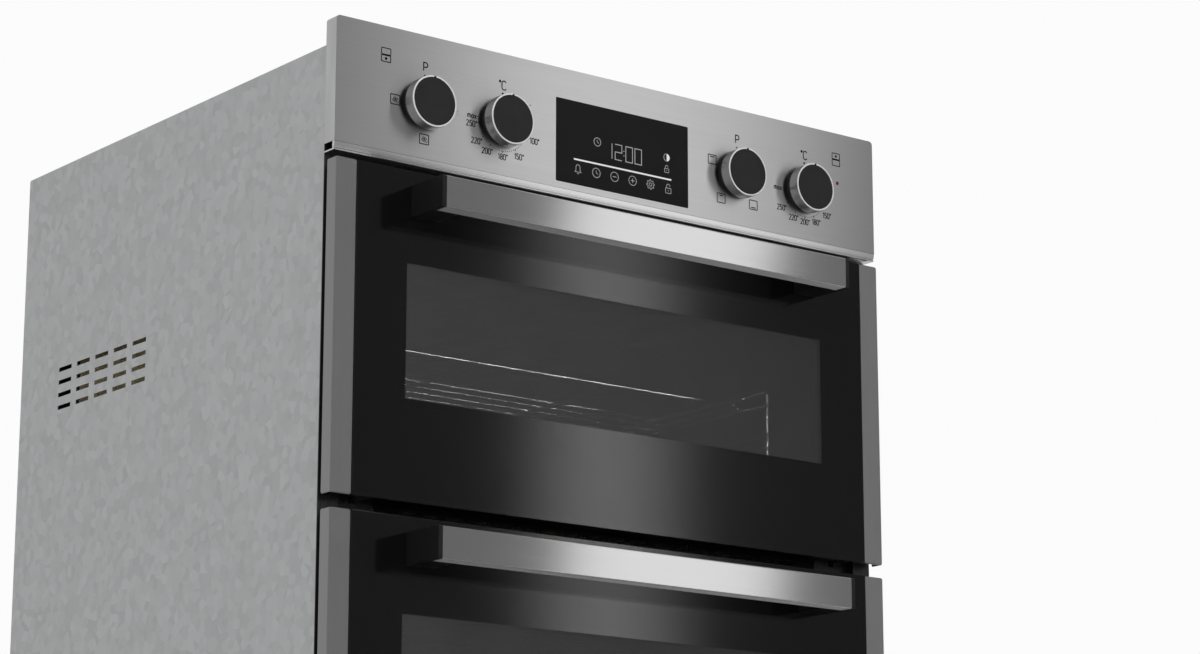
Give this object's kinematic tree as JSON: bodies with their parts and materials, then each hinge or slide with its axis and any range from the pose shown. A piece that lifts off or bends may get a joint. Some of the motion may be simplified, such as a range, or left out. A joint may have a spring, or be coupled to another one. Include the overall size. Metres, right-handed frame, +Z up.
{
  "type": "built-in double wall oven",
  "caption": "Built-in double wall oven: a low top oven over a taller main oven, drop-down glass doors, bar handles, rotary knobs and a clock panel.",
  "frame": {"origin": "on the underside of the base plate, at the middle of the whole object's width and depth, handles included", "axes": "+Z up, +Y towards the rear of the oven, +X to the right seen from the front"},
  "size_m": [0.594, 0.6125, 0.888],
  "materials": {
    "galvanised_sheet": "satin",
    "black_enamel_frame": "gloss",
    "cavity_enamel": "gloss",
    "brushed_stainless": "satin",
    "handle_steel": "satin",
    "chrome_wire": "polished",
    "element_sheath": "matte",
    "spring_steel": "satin",
    "motor_steel": "satin",
    "fan_aluminium": "satin",
    "black_plastic": "satin",
    "knob_black": "satin",
    "switch_plastic": "matte",
    "socket_ceramic": "matte",
    "circuit_board": "satin",
    "display_glass": "gloss",
    "door_glass": "gloss",
    "inner_glass": "gloss",
    "lamp_glass": "gloss",
    "seal_rubber": "matte",
    "mineral_wool": "matte",
    "zinc_screws": "satin"
  },
  "bodies": {
    "casing": {"base_plate": "galvanised_sheet", "side_panels": "galvanised_sheet", "top_cover": "galvanised_sheet", "rear_panel": "galvanised_sheet", "front_posts": "black_enamel_frame", "front_rails": "black_enamel_frame", "bottom_trim": "black_enamel_frame", "divider_tray": "galvanised_sheet", "control_floor": "galvanised_sheet", "upper_cavity": "cavity_enamel", "lower_cavity": "cavity_enamel", "insulation_blankets": "mineral_wool", "door_gaskets": "seal_rubber", "upper_side_racks": "chrome_wire", "lower_side_racks": "chrome_wire", "upper_grill_element": "element_sheath", "upper_base_element": "element_sheath", "lower_ring_element": "element_sheath", "lower_fan_cover": "cavity_enamel", "fan_motor": "motor_steel", "blower_housing": "galvanised_sheet", "blower_motor": "motor_steel", "lamp_sockets": "socket_ceramic", "lamp_lenses": "lamp_glass", "terminal_box": "black_plastic", "power_board": "circuit_board", "control_fascia": "brushed_stainless", "fascia_carrier": "black_plastic", "display_glass": "display_glass", "display_board": "circuit_board", "knob_collars": "black_plastic", "rotary_switches": "switch_plastic", "casing_screws": "zinc_screws", "hinge_blades": "spring_steel"},
    "upper_door": {"upper_outer_glass": "door_glass", "upper_inner_glass": "inner_glass", "upper_door_trims": "brushed_stainless", "upper_door_frame": "black_plastic", "upper_handle_bar": "handle_steel", "upper_handle_brackets": "black_plastic", "upper_hinge_cases": "spring_steel"},
    "lower_door": {"lower_outer_glass": "door_glass", "lower_inner_glass": "inner_glass", "lower_door_trims": "brushed_stainless", "lower_door_frame": "black_plastic", "lower_handle_bar": "handle_steel", "lower_handle_brackets": "black_plastic", "lower_hinge_cases": "spring_steel"},
    "upper_shelf": {"upper_shelf": "chrome_wire"},
    "lower_shelf": {"lower_shelf": "chrome_wire"},
    "convection_fan": {"fan_impeller": "fan_aluminium"},
    "cooling_blower": {"blower_impeller": "black_plastic"},
    "lower_function_knob": {"lower_function_knob_ring": "handle_steel", "lower_function_knob_cap": "knob_black"},
    "lower_temperature_knob": {"lower_temperature_knob_ring": "handle_steel", "lower_temperature_knob_cap": "knob_black"},
    "upper_function_knob": {"upper_function_knob_ring": "handle_steel", "upper_function_knob_cap": "knob_black"},
    "upper_temperature_knob": {"upper_temperature_knob_ring": "handle_steel", "upper_temperature_knob_cap": "knob_black"}
  },
  "joints": [
    {"name": "upper_door_hinge", "type": "hinge", "parent": "casing", "child": "upper_door", "pos_m": [0, -0.25325, 0.4926], "axis": [1, 0, 0], "range_deg": [0, 90], "stiffness_Nm_per_rad": 2.2, "springref_deg": -25.78},
    {"name": "lower_door_hinge", "type": "hinge", "parent": "casing", "child": "lower_door", "pos_m": [0, -0.25325, 0.0375], "axis": [1, 0, 0], "range_deg": [0, 90], "stiffness_Nm_per_rad": 5.5, "springref_deg": -25.78},
    {"name": "upper_shelf_slide", "type": "slide", "parent": "casing", "child": "upper_shelf", "axis": [0, -1, 0], "range_m": [0, 0.08]},
    {"name": "lower_shelf_slide", "type": "slide", "parent": "casing", "child": "lower_shelf", "axis": [0, -1, 0], "range_m": [0, 0.08]},
    {"name": "convection_fan_spin", "type": "hinge", "parent": "casing", "child": "convection_fan", "pos_m": [0, 0.17125, 0.263], "axis": [0, 1, 0], "continuous": true},
    {"name": "cooling_blower_spin", "type": "hinge", "parent": "casing", "child": "cooling_blower", "pos_m": [0, 0.07125, 0.79], "axis": [0, 0, 1], "continuous": true},
    {"name": "lower_function_turn", "type": "hinge", "parent": "casing", "child": "lower_function_knob", "pos_m": [-0.2088, -0.25875, 0.8264], "axis": [0, 1, 0], "continuous": true},
    {"name": "lower_temperature_turn", "type": "hinge", "parent": "casing", "child": "lower_temperature_knob", "pos_m": [-0.1282, -0.25875, 0.8264], "axis": [0, 1, 0], "range_deg": [0, 270]},
    {"name": "upper_function_turn", "type": "hinge", "parent": "casing", "child": "upper_function_knob", "pos_m": [0.1318, -0.25875, 0.8264], "axis": [0, 1, 0], "continuous": true},
    {"name": "upper_temperature_turn", "type": "hinge", "parent": "casing", "child": "upper_temperature_knob", "pos_m": [0.2124, -0.25875, 0.8264], "axis": [0, 1, 0], "range_deg": [0, 270]}
  ]
}
